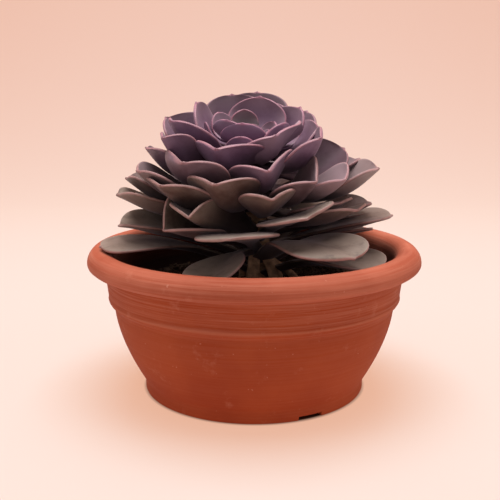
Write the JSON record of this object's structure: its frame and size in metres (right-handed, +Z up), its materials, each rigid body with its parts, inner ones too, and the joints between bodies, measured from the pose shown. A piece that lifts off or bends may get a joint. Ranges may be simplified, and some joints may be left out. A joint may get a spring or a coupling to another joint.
{
  "type": "potted echeveria",
  "caption": "Echeveria rosette of broad spoon-shaped leaves on a short stem, rooted in soil in a terracotta bowl with a rolled rim.",
  "frame": {"origin": "middle of the pot's foot ring, on the surface it stands on", "axes": "+Z up, -Y towards the picture's viewer, +X to the viewer's right"},
  "size_m": [0.2, 0.2, 0.179],
  "materials": {
    "terracotta": "matte",
    "earth": "matte",
    "leaf_skin": "matte"
  },
  "bodies": {
    "root": {"pot": "terracotta", "soil": "earth", "rosette": "leaf_skin"}
  },
  "joints": []
}
